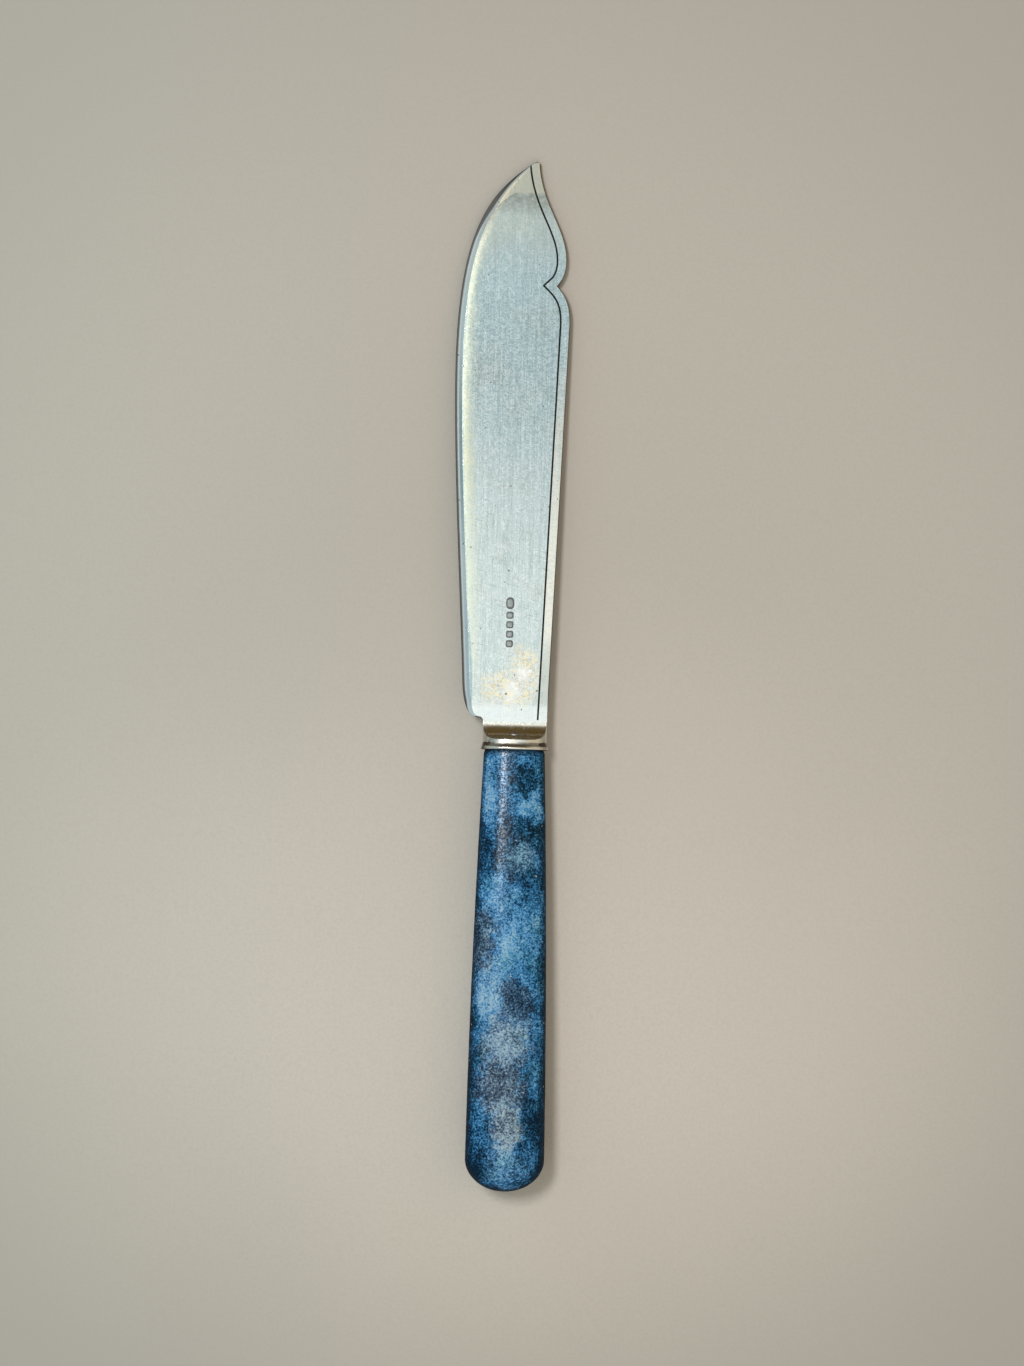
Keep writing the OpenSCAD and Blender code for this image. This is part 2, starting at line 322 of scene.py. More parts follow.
def oval(width, thickness, squareness, count):
    """A superellipse as (x, z) pairs."""
    ring = []
    for i in range(count):
        c, d = math.cos(math.tau * i / count), math.sin(math.tau * i / count)
        ring.append((math.copysign(abs(c) ** (2 / squareness), c) * width / 2,
                     math.copysign(abs(d) ** (2 / squareness), d) * thickness / 2))
    return ring


def blade_plan():
    """The blade's outline with its bevel width at each point, and the knife's place on the table."""
    k = settings()
    b, f = k.blade, k.fittings
    reach, neck = b.length, f.neck / 2
    nose_y = f.collar_length + f.bolster_length
    heel_y = nose_y + b.neck_length
    tip_y = heel_y + reach
    notch_y = heel_y + b.notch_place * reach
    belly_y = heel_y + 0.628 * reach
    lobe_y = notch_y + 0.2 * (tip_y - notch_y)
    tip_x, tip_r = b.tip_side, 0.6 * MM
    shelf = (b.back, notch_y - 0.077 * reach)
    notch = (b.back - b.notch_depth, notch_y)
    crest = (b.lobe, lobe_y)
    tip_a = (tip_x + tip_r, tip_y - tip_r)
    tip_b = (tip_x - tip_r, tip_y - tip_r / 3)
    belly = (-b.belly, belly_y)
    heel = (-b.heel, heel_y + b.heel_rise)
    step = (-neck - b.neck_length, heel_y)
    third = ((shelf[0] - neck) / 3, (shelf[1] - nose_y) / 3)
    stretches = [
        ("back", 60, [(neck, nose_y), (neck + third[0], nose_y + third[1]),
                      (neck + 2 * third[0], nose_y + 2 * third[1]), shelf],
         lambda s: b.chamfer * min(1.0, 0.1 + 12 * s)),
        ("back", 50, [shelf, (b.back + 0.2 * MM, notch_y - 0.04 * reach),
                      (b.back - b.notch_depth / 4, notch_y - 0.018 * reach), notch],
         lambda s: b.chamfer),
        ("upper", 50, [notch, (b.lobe - 0.7 * MM, notch_y + 0.009 * reach),
                       (b.lobe, between(notch_y, lobe_y, 0.55)), crest],
         lambda s: b.chamfer),
        ("upper", 80, [crest, (b.lobe, between(notch_y, tip_y, 0.46)),
                       (tip_x + 1.3 * MM, between(notch_y, tip_y, 0.643)), tip_a],
         lambda s: b.chamfer),
        ("edge", 16, [tip_a, (tip_x + 0.9 * tip_r, tip_y - tip_r / 6),
                      (tip_x + tip_r / 6, tip_y + tip_r / 3), tip_b],
         lambda s: b.chamfer),
        ("edge", 150, [tip_b, (-b.belly / 2, tip_y - 0.052 * reach), (-b.belly, tip_y - 0.11 * reach), belly],
         lambda s: between(b.chamfer, b.bevel, 2.5 * s)),
        ("edge", 90, [belly, (-b.belly, belly_y - 0.165 * reach), (-b.heel - 0.9 * MM, heel_y + 0.23 * reach),
                      heel],
         lambda s: b.bevel),
        ("edge", 60, [heel, (-b.heel + 0.2 * MM, heel_y + 0.43 * b.heel_rise), (-b.heel + 1.1 * MM, heel_y),
                      (-neck - 1.25 * b.neck_length, heel_y)],
         lambda s: between(b.bevel, b.chamfer, 1.6 * s - 0.6)),
        ("edge", 20, [step, (-neck - 0.45 * b.neck_length, heel_y), (-neck, nose_y + 0.55 * b.neck_length),
                      (-neck, nose_y)],
         lambda s: b.chamfer * (1 - 0.9 * s)),
    ]
    points, widths, names = [], [], []
    for name, count, hull, width in stretches:
        for i in range(count):
            s = i / count
            r = 1 - s
            parts = (r ** 3, 3 * r * r * s, 3 * r * s * s, s ** 3)
            points.append(Vector([sum(part * p[c] for part, p in zip(parts, hull)) for c in (0, 1)]))
            widths.append(width(s))
            names.append(name)
    points.append(Vector((-neck, nose_y)))
    widths.append(0.1 * b.chamfer)
    names.append("edge")
    count = len(points)
    inward = []
    for i in range(count):
        along = (points[(i + 1) % count] - points[i - 1]).normalized()
        inward.append(Vector((-along.y, along.x)))
    inward[0], inward[-1] = Vector((-1.0, 0.0)), Vector((1.0, 0.0))
    touch_y = max((p + w * n).y for p, w, n in zip(points, widths, inward))
    tilt = math.atan((f.collar - b.sheet) / 2 / (touch_y - f.rim / 2))
    rest = Matrix.Translation((-(max(p.x for p in points) + min(p.x for p in points)) / 2,
                               -(max(p.y for p in points) - k.handle.length) / 2 * math.cos(tilt),
                               b.sheet / 2 * math.cos(tilt) + touch_y * math.sin(tilt)))
    rest = rest @ Matrix.Rotation(-tilt, 4, "X")
    return SimpleNamespace(points=points, widths=widths, names=names, inward=inward, rest=rest, tilt=tilt,
                           nose_y=nose_y)


def ring_mesh(name, rings, first="cap", last="cap"):
    """A mesh through rings of points with the same count, its ends capped or joined to each other."""
    count = len(rings[0])
    corners = [p for ring in rings for p in ring]
    faces = []
    for r in range(len(rings) - (0 if last == "join" else 1)):
        a, b = r * count, (r + 1) % len(rings) * count
        faces += [(a + i, a + (i + 1) % count, b + (i + 1) % count, b + i) for i in range(count)]
    if first == "cap":
        faces.append(tuple(range(count)))
    if last == "cap":
        faces.append(tuple(range(len(corners) - count, len(corners))))
    mesh = bpy.data.meshes.new(name)
    mesh.from_pydata(corners, [], faces)
    return mend(mesh)


def mend(mesh, gap=1e-6):
    """Merges points that coincide and turns all faces outwards."""
    work = bmesh.new()
    work.from_mesh(mesh)
    bmesh.ops.remove_doubles(work, verts=work.verts, dist=gap)
    bmesh.ops.recalc_face_normals(work, faces=work.faces)
    work.to_mesh(mesh)
    work.free()
    return mesh


def add_object(name, mesh, finish=None):
    if finish is not None:
        mesh.materials.clear()
        mesh.materials.append(finish)
    thing = bpy.data.objects.new(name, mesh)
    bpy.context.scene.collection.objects.link(thing)
    return thing


def plain_mesh(thing):
    """The object's mesh with its modifiers worked in; the object goes."""
    bpy.context.view_layer.update()
    seen = thing.evaluated_get(bpy.context.evaluated_depsgraph_get())
    mesh = bpy.data.meshes.new_from_object(seen)
    bpy.data.objects.remove(thing)
    return mesh


def combine(mesh, tool_mesh, operation, crossing=False):
    """Cuts one mesh out of another or joins it on, and keeps the tool's finish on the faces it leaves."""
    body, tool = add_object("body", mesh), add_object("tool", tool_mesh)
    step = body.modifiers.new("combine", "BOOLEAN")
    step.operation, step.solver, step.use_self = operation, "EXACT", crossing
    step.material_mode, step.object = "TRANSFER", tool
    result = plain_mesh(body)
    bpy.data.objects.remove(tool)
    if not result.polygons:
        raise RuntimeError("the cut left nothing of " + mesh.name)
    return result


def grow(name, tree, values, start=None):
    """Runs a Geometry Nodes tree with its named inputs set and returns a plain mesh."""
    thing = add_object(name, start or bpy.data.meshes.new(name))
    step = thing.modifiers.new("rule", "NODES")
    step.node_group = tree
    inputs = {s.name: s.identifier for s in tree.interface.items_tree
              if s.item_type == "SOCKET" and s.in_out == "INPUT"}
    for label, value in values.items():
        step[inputs[label]] = value
    mesh = plain_mesh(thing)
    if not mesh.polygons:
        raise RuntimeError("nothing grew for " + name)
    return mesh


def start_tree(name, inputs):
    """A Geometry Nodes tree with its inputs named; returns the tree, its board and the input wires."""
    tree = bpy.data.node_groups.new(name, "GeometryNodeTree")
    tree.interface.new_socket("Geometry", in_out="INPUT", socket_type="NodeSocketGeometry")
    for label, kind in inputs.items():
        tree.interface.new_socket(label, in_out="INPUT", socket_type="NodeSocket" + kind)
    tree.interface.new_socket("Geometry", in_out="OUTPUT", socket_type="NodeSocketGeometry")
    board = Board(tree)
    return tree, board, board.node("NodeGroupInput")


def end_tree(board, geometry, finish):
    whole = board.node("GeometryNodeRealizeInstances", {"Geometry": geometry})[0]
    dressed = board.node("GeometryNodeSetMaterial", {"Geometry": whole, "Material": finish})[0]
    board.node("NodeGroupOutput", {"Geometry": dressed})


def place_piece(name, mesh, node, sharp=30.0):
    """Lays a mesh drawn along the knife's axes on the table and lets it stand for its CAD node."""
    mesh.transform(blade_plan().rest)
    mesh.shade_smooth()
    mesh.set_sharp_from_angle(angle=math.radians(sharp))
    piece = add_object(name, mesh)
    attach(piece, BODY)
    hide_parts(node)
    return piece


# Finishes. Places and widths in them are in millimetres along the knife's own axes.

BRIGHT = (0.93, 0.97, 0.97)


def largest(wires):
    return reduce(Wire.larger, wires)


def apart(x, y, across, along, wide, tall):
    """Squared distance from a centre, counted in the reach across and along."""
    off_x, off_y = (x - across) / wide, (y - along) / tall
    return off_x * off_x + off_y * off_y


def worn_silver(board, hair=1.0):
    """Colour, roughness and height of worn silver: hairs along the knife, stray scratches, bloom."""
    c = settings().finish
    hairs = board.streaks((3.4, 0.07, 3.4), 4.0, 0.65)
    fine = board.streaks((11.0, 0.30, 11.0), 2.0)
    cuts = largest(
        board.streaks((3.6, 0.22, 3.6), 1.0, turn=turn, shift=(seed, seed * 0.7, 0.0)).rise(rate, rate + 0.05)
        for turn, seed, rate in ((0.35, 11.0, 0.655), (-0.5, 37.0, 0.665), (1.15, 71.0, 0.67),
                                 (-1.3, 5.0, 0.665), (0.06, 23.0, 0.64)))
    worms = largest(
        abs(board.streaks((scale,) * 3, 2.0, turn=seed, shift=(seed, 0.0, 0.0)) - 0.5).rise(0.024, 0.006)
        for seed, scale in ((3.0, 0.55), (47.0, 0.8), (91.0, 1.1)))
    bloom = board.grain(0.09, 5.0, 0.62)
    dust = board.grain(1.6, 3.0, 0.7)
    colour = board.layers(
        c.silver,
        (bloom.rise(0.46, 0.74) * 0.35 + dust.rise(0.5, 0.8) * 0.12, c.tarnish),
        ((hairs - 0.5) * (0.80 * hair) + (fine - 0.5) * 0.85 + worms * 0.58, BRIGHT),
        ((0.5 - hairs) * (0.75 * hair) + (0.5 - fine) * 0.6 + cuts * 0.22, (0.25, 0.28, 0.29)))
    rough = 0.08 + (hairs - 0.5) * 0.07 * hair + cuts * 0.03 + worms * 0.02 + (dust - 0.5) * 0.04
    height = hairs * (0.5 * hair) + fine * 0.25 - cuts * 0.5 - worms * 0.35
    return colour, rough, height


# The cutting edge's distance from the knife's axis in units of EDGE_UNIT, by its place in EDGE_RUN.
EDGE_RUN, EDGE_UNIT = 118.0, 100.0
EDGE_STOPS = ((0.06, 0.107), (0.30, 0.119), (0.62, 0.136), (0.80, 0.127), (0.92, 0.085), (1.0, 0.0))


def inside_edge(board, x, y):
    """Distance in from the cutting edge."""
    ramp = board.ramp(y / EDGE_RUN, *((place, (value,) * 3) for place, value in EDGE_STOPS))
    return x + board.node("ShaderNodeSeparateColor", {0: ramp})[0] * EDGE_UNIT


def painted_heel_glare(board, colour, curls):
    """Painted glare above the heel: a pale painted highlight, golden painted glints along the curls, dark
    lines between them and two painted white glints.
    """
    x, y, _ = board.parts(board.spot)
    # Grain that breaks the painted glare into golden painted glints and dark lines.
    glint_grain = board.grain(1.1, 3.0, 0.6)
    cloud = (board.grain(0.35, 3.0, 0.6) - 0.5) * 2.2
    glare = largest((apart(x, y, *area) + cloud).rise(1.35, 0.1)
                    for area in ((-1.4, 11.9, 6.2, 4.2), (1.6, 16.0, 3.4, 5.2)))
    # Two painted white glints.
    white_glints = [(apart(x, y, *area) + (glint_grain - 0.5) * 5.5).rise(1.3, -0.5) * 0.9
              for area in ((-0.9, 11.6, 1.9, 2.6), (1.3, 15.3, 1.7, 1.7))]
    return board.layers(
        colour,
        (glare * 0.42, (1.0, 0.95, 0.84)),
        (glare * curls * 0.8, (1.0, 0.87, 0.57)),
        (glare * abs(glint_grain - 0.47).rise(0.045, 0.008) * 0.62, (0.47, 0.46, 0.40)),
        *((white_glint, (1.0, 0.99, 0.96)) for white_glint in white_glints))


def blade_finish():
    """Worn silver with a creamy band by the bevel, painted brighter toward the tip; a tarnished tip with a
    painted warm reflection and a painted dark band; a painted glare above the heel; painted reflections and a
    painted glint on the bevel; and dark arrises of painted shade.
    """
    board = Finish("worn_silver_blade")
    colour, rough, height = worn_silver(board)
    x, y, z = board.parts(board.spot)
    inside = inside_edge(board, x, y)
    freckle = board.grain(1.1, 4.0, 0.7)
    curl = board.streaks((0.65,) * 3, 1.0, turn=0.9, shift=(17.0, 3.0, 0.0))
    curls = abs(curl - 0.5).rise(0.080, 0.015)
    heel = y.rise(36.0, 15.0) * 0.9
    # Painted bluish reflection: darkens the silver just inside the bevel near the heel.
    heel_reflection = (inside - heel).rise(1.45, 1.15) * y.rise(36.0, 24.0)
    band = (inside - heel).rise(1.3, 1.7) * (inside + (freckle - 0.5) * 3.0).rise(4.4, 2.4)
    band = band * y.rise(8.0, 20.0) * y.rise(110.0, 100.0) * (0.55 + curls * 0.45)
    # Band colour: a worn creamy tint, painted brighter toward the tip as highlight.
    creamy = board.layers((0.76, 0.81, 0.71), (y.rise(40.0, 55.0), (0.80, 0.81, 0.64)),
                          (y.rise(58.0, 80.0), (0.98, 0.98, 0.82)))
    back = ((y - 5.6) / 78.9).clip() * 2.7 + 6.4
    # Strip beside the back: a painted paler highlight, with painted shade near the heel.
    strip = (x - back).rise(-2.0, -1.8) * y.rise(86.0, 60.0)
    # Place along the tip for its tarnish and painted warm reflection, with a painted dark band where the
    # reflection changes.
    brow = y + inside.rise(3.5, 0.5) * 6.0 - abs(freckle - 0.5)
    colour = board.layers(
        colour,
        (heel_reflection * 0.9, (0.62, 0.70, 0.79), "MULTIPLY"),
        (band, creamy),
        (strip * freckle.rise(0.20, 0.55) * 0.65, (1.0, 0.92, 0.80)),
        (strip * y.rise(25.0, 15.0), (0.70, 0.77, 0.79), "MULTIPLY"),
        (brow.rise(92.0, 106.0) * 0.50, (0.78, 0.72, 0.60)),
        (brow.rise(105.5, 110.8) * (0.30 + freckle.rise(0.30, 0.60) * 0.50), (0.36, 0.33, 0.27)),
        (brow.rise(111.2, 111.8) * (0.55 + freckle * 0.5).clip(), (0.78, 0.68, 0.53)))
    # Painted glare above the heel.
    colour = painted_heel_glare(board, colour, curls)
    side = inside.rise(3.2, 2.2)
    bevel = side * abs(z).rise(0.67, 0.64)
    waist = abs(y - 60.0)
    # Dark rim along the cutting edge, wider toward the tip, and over the back's chamfer: painted shade and
    # dark reflection along the outline.
    rim = side * (0.365 + y.rise(100.0, 112.0) * 0.20) + (1.0 - side) * 0.66
    rim = (abs(z) - rim).rise(0.04, -0.05)
    pits = board.grain(1.3, 0.0).rise(0.83, 0.86)
    colour = board.layers(
        colour,
        # Painted highlight on the blade next to the bolster.
        (y.rise(9.8, 8.0) * (0.45 + freckle * 0.4), BRIGHT),
        # Painted reflections on the bevel: lighter toward both ends, darker near its middle, then a painted
        # glint just inside the dark rim.
        (bevel * waist.rise(6.0, 26.0) * 0.55, (0.95, 0.98, 1.0)),
        (bevel * waist.rise(24.0, 4.0) * 0.55, (0.30, 0.40, 0.44)),
        (bevel * abs(z).rise(0.50, 0.42), (1.0, 1.0, 0.96)),
        # Painted dark rim.
        (rim * 0.95, (0.035, 0.032, 0.027)),
        (pits * 0.75, (0.10, 0.085, 0.06)))
    return board.end(colour, rough + rim * 0.3, height * (1.0 - band * 0.7), 0.0000017, Metallic=1.0)


def recess_finish():
    """Dirt in the engraved line."""
    board = Finish("recess_dirt")
    grain = board.grain(6.0, 3.0)
    colour = board.layers(settings().finish.recess, (grain.rise(0.45, 0.8) * 0.5, (0.10, 0.09, 0.075)))
    return board.end(colour, 0.6 + grain * 0.25, grain, 0.00001, Specular_IOR_Level=0.1)


def punch_finish():
    """Floor of a punch mark: dirt in its deep outer part, worn silver on its raised middle."""
    board = Finish("punch_floor")
    colour, rough, _ = worn_silver(board, 0.3)
    z = board.parts(board.spot)[2]
    grain = board.grain(5.0, 3.0)
    b = settings().blade
    face, deep = b.sheet / 2 / MM, b.punch_depth / MM
    corner = z.rise(face - 0.88 * deep, face - 0.99 * deep)
    dirt = (corner * 0.40 + 0.45 + grain.rise(0.4, 0.75) * 0.25).clip()
    colour = board.layers(colour, (dirt, (0.09, 0.075, 0.07)))
    return board.end(colour, rough + dirt * 0.1, grain, 0.000004, Metallic=1.0)


def fitting_finish(name, soil_and_shade):
    """Silver of bolster and collar; the second argument is how much dirt and painted shade sit against the
    handle and in the crease by the rim.
    """
    board = Finish(name)
    colour, rough, height = worn_silver(board, 0.5)
    x, y, z = board.parts(board.spot)
    grain = board.grain(2.6, 4.0, 0.65)
    # Dirt and painted shade at the joint with the handle and in the crease between flare and rim.
    crease_dirt_and_shade = y.rise(0.16, 0.0) + y.rise(0.62, 0.80) * (y + (grain - 0.5) * 1.2).rise(1.75, 1.25) * 0.8
    # Painted shade where the oval's upper face turns down at its sides.
    ends = (abs(x) + (grain - 0.5) * 2.0).rise(4.2, 6.6) * z.rise(0.6, 2.4)
    patch = board.grain(0.42, 4.0, 0.6).rise(0.50, 0.66) * 0.45
    # This mask holds dirt and the painted shade of the masks above.
    dirt = (crease_dirt_and_shade * soil_and_shade + ends * 0.55 + patch + grain.rise(0.6, 0.8) * 0.2).clip()
    colour = board.layers(colour, (0.7, (0.80, 0.74, 0.62)), (dirt, (0.075, 0.055, 0.040)))
    return board.end(colour, rough + 0.10 + dirt * 0.25, height, 0.000003, Metallic=1.0)


# Soft clouds of the handle: place across and along, reach both ways in units of CLOUD_SPREAD, how much
# lighter, how grey.
CLOUD_SPREAD = 1.15
CLOUDS = (
    (-4.5, -8.3, 1.7, 5.6, 0.26, 0.1), (4.5, -11.7, 1.9, 2.0, 0.38, 0.0), (-2.0, -29.0, 3.8, 2.9, 0.24, 0.0),
    (1.9, -38.0, 4.3, 5.6, 0.28, 0.0), (-3.3, -48.5, 3.4, 4.6, 0.30, 0.2), (0.3, -58.4, 4.4, 4.4, 0.24, 0.7),
    (1.1, -74.8, 2.8, 4.4, 0.31, 0.9), (1.3, -82.6, 4.0, 3.4, 0.16, 0.2), (3.0, -21.0, 2.2, 3.2, 0.16, 0.4),
    (3.3, -5.7, 2.3, 2.4, -0.28, 0.0), (2.5, -15.6, 3.3, 2.2, -0.24, 0.0),
    (-0.3, -22.0, 5.4, 4.4, -0.10, 0.0), (-4.6, -38.7, 2.2, 5.4, -0.04, 0.7),
    (2.6, -51.0, 2.7, 4.4, -0.03, 0.5), (-0.2, -67.2, 4.4, 5.0, -0.01, 0.8),
    (-5.2, -82.8, 2.4, 3.4, -0.16, 0.0), (6.2, -77.1, 1.9, 6.4, -0.20, 0.0),
)


def handle_finish():
    """Mottled blue in soft clouds and fine grain, painted shade down the flanks, dirt and painted shade at
    the top end, polished along the crown.
    """
    board = Finish("mottled_blue")
    c, h = settings().finish, settings().handle
    x, y, z = board.parts(board.spot)
    drift = board.node("ShaderNodeSeparateColor", {0: board.noise(board.spot, 0.30, 4.0, 0.6, "Color")})
    bent_x = x + (drift[0] - 0.5) * 4.0 + z * 0.25
    bent_y = y + (drift[1] - 0.5) * 7.0
    lace = board.grain(0.75, 6.0, 0.68) - 0.5
    mist = board.streaks((0.30, 0.17, 0.30), 8.0, 0.70)
    tone = 0.38 + (mist - 0.5) * 1.5 + lace * 0.6
    greys = []
    for across, along, wide, tall, lift, dull in CLOUDS:
        off = apart(bent_x, bent_y, across, along, wide * CLOUD_SPREAD, tall * CLOUD_SPREAD)
        cloud = (off + lace * 4.0).rise(1.7, 0.35)
        tone = tone + cloud * lift
        if dull:
            greys.append(cloud * dull)
    grain = board.grain(2.4, 2.0, 0.7)
    fleck = abs(board.grain(1.6, 1.0) - 0.5).rise(0.11, 0.0)
    straight = h.length - h.butt_round
    f = (y * (-MM / straight)).clip()
    half = (h.top_width + (h.butt_width - h.top_width) * f * (1.0 + h.swell * (1.0 - f))) / (2 * MM)
    across, over = x / half, ((y * -MM - straight) / h.butt_round).clip()
    # Flank mask: the tone below darkens along it as painted shade.
    painted_shade_flank = ((across * across + over * over) ** 0.5 + lace * 0.5).rise(0.76, 1.03)
    tone = tone + (grain - 0.5) * 1.45 + (fleck - 0.4) * 0.28 - painted_shade_flank * 0.42
    tone = tone - y.rise(-55.0, -75.0) * 0.045 + y.rise(-16.0, -4.0) * 0.04
    blues = board.ramp(tone, (0.0, c.deep), (0.26, c.navy), (0.48, c.blue), (0.70, c.sky), (1.0, c.pale))
    dulled = board.ramp(board.node("ShaderNodeRGBToBW", {0: blues})[0], (0.0, c.deep), (0.12, c.violet),
                        (0.30, (0.27, 0.36, 0.40)), (0.6, (0.62, 0.66, 0.70)))
    teal = board.grain(0.16, 5.0, 0.6).rise(0.50, 0.62)
    specks = board.grain(1.3, 0.0).rise(0.82, 0.86)
    # Near-black at the top end by the collar: dirt and painted shade.
    soil_and_shade = y.rise(-1.7, -0.1) * 0.75
    colour = board.layers(
        blues,
        (largest(greys) * 0.95, dulled),
        (teal * 0.4, (1.0, 0.97, 0.72), "MULTIPLY"),
        (specks * 0.6, (0.50, 0.55, 0.58)),
        (soil_and_shade, (0.006, 0.008, 0.012)))
    rough = 0.20 + (grain - 0.5) * 0.10 + soil_and_shade * 0.3 + painted_shade_flank * 0.5
    crown = abs(x + 1.7).rise(3.3, 0.7) * (0.25 + y.rise(-36.0, -20.0) * 0.75)
    sheen = 0.20 + (grain * 0.7 + fleck * 0.3).rise(0.36, 0.60) * 0.78
    return board.end(colour, rough, grain + fleck * 0.5, 0.00003,
                     Coat_Weight=(1.0 - painted_shade_flank) * (0.02 + crown * sheen), Coat_Roughness=0.21,
                     Specular_IOR_Level=0.06, Specular_Tint=(0.70, 0.88, 1.0))


def tang_finish():
    """Forged steel with rust-coloured scale."""
    board = Finish("forged_tang")
    scale = board.grain(0.9, 5.0, 0.65)
    rings = board.streaks((0.3, 5.0, 0.3), 2.0)
    colour = board.layers(settings().finish.steel, (scale.rise(0.4, 0.7) * 0.6, (0.11, 0.075, 0.055)))
    return board.end(colour, 0.42 + (scale - 0.5) * 0.3, rings * 0.5 + scale, 0.00003, Metallic=1.0)


def cement_finish():
    """Crumbly brown resin."""
    board = Finish("cutlers_cement")
    crumb = board.grain(1.8, 6.0, 0.7)
    colour = board.layers(settings().finish.cement, (crumb.rise(0.4, 0.75), (0.17, 0.105, 0.06)))
    return board.end(colour, 0.72 + (crumb - 0.5) * 0.3, crumb, 0.00006)


def table_finish():
    """A plain pale table, palest round the handle in a painted pool of light, with painted shade toward the
    corners and painted cooler light on the left.
    """
    board = Finish("table_with_painted_light")
    base = Vector(settings().finish.table)
    x, y, _ = board.parts(board.spot)
    tooth = board.grain(1.8, 3.0, 0.7)
    pool_edge_noise = board.grain(0.012, 3.0)
    # Painted pool of light: the table darkens away from a point by the handle.
    away = (x * x * 0.5 + (y + 52.0) * (y + 52.0)) ** 0.5 + (pool_edge_noise - 0.5) * 40.0
    # Painted shade toward the corners.
    corner = (x * x + (y - 10.0) * (y - 10.0)) ** 0.5
    colour = board.layers(
        base,
        (away.rise(5.0, 100.0), base * 0.79),
        (corner.rise(80.0, 190.0), (0.82, 0.82, 0.82), "MULTIPLY"),
        # Painted cooler light on the left.
        (x.rise(10.0, -90.0), (0.99, 1.04, 1.06), "MULTIPLY"),
        (tooth.rise(0.35, 0.75) * 0.22, base * 0.6))
    return board.end(colour, 0.8, tooth, 0.00002)


# Pieces.

def engraver_tree():
    """A round cutter swept along the engraved line."""
    tree, board, given = start_tree("engraver_path", {"Radius": "Float", "Finish": "Material"})
    path = board.node("GeometryNodeMeshToCurve", {"Mesh": given["Geometry"]})[0]
    ring = board.node("GeometryNodeCurvePrimitiveCircle", {"Resolution": 16, "Radius": given["Radius"]},
                      mode="RADIUS")[0]
    cutter = board.node("GeometryNodeCurveToMesh", {"Curve": path, "Profile Curve": ring,
                                                    "Fill Caps": True})[0]
    end_tree(board, cutter, given["Finish"])
    return tree


# Squareness, scale and step along the row of each die. The last punch takes the first die.
DIES = ((2.6, (1.15, 1.65, 1.0), 0.0005), (4.0, (1.0, 1.0, 1.0), 0.0))


def punch_tree():
    """A row of blank punches with drafted sides and raised middles: square ones, then a tall oval one."""
    tree, board, given = start_tree("punch_row", {"Count": "Int", "Start": "Vector", "Step": "Vector",
                                                  "Radius": "Float", "Depth": "Float", "Finish": "Material"})
    row = board.node("GeometryNodeMeshLine", {"Count": given["Count"], "Start Location": given["Start"],
                                              "Offset": given["Step"]}, mode="OFFSET")[0]
    tray = board.node("GeometryNodeGeometryToInstance")
    for squareness, scale, step in DIES:
        die = board.node("GeometryNodeMeshCone", {
            "Vertices": 32, "Fill Segments": 5, "Radius Bottom": given["Radius"],
            "Radius Top": given["Radius"] * 1.16, "Depth": given["Depth"] * 2.5}, fill_type="NGON")[0]
        x, y, z = board.parts(board.node("GeometryNodeInputPosition")[0])
        away = (x * x + y * y) ** 0.5
        bulge = away / (abs(x) ** squareness + abs(y) ** squareness) ** (1.0 / squareness)
        lift = (away / given["Radius"]).rise(0.85, 0.5) * (z < given["Depth"] * 0.5) * given["Depth"] * 0.12
        place = board.node("ShaderNodeCombineXYZ", {0: x * bulge, 1: y * bulge, 2: z + lift})[0]
        die = board.node("GeometryNodeSetPosition", {"Geometry": die, "Position": place})[0]
        die = board.node("GeometryNodeTransform", {
            "Geometry": die, "Translation": (0.0, step, 0.0), "Scale": scale})[0]
        board.tree.links.new(die.socket, tray.made.inputs[0])
    number = board.node("GeometryNodeInputIndex")[0]
    last = number.math("COMPARE", number, given["Count"] - 1.0, 0.1)
    dies = board.node("GeometryNodeInstanceOnPoints", {
        "Points": row, "Instance": tray[0], "Pick Instance": True,
        "Instance Index": board.node("FunctionNodeFloatToInt", {0: last})[0]})[0]
    end_tree(board, dies, given["Finish"])
    return tree


EASE, EASE_STEP = 0.3 * MM, 0.2 * MM  # rounding of the handle's top edge: along it and in


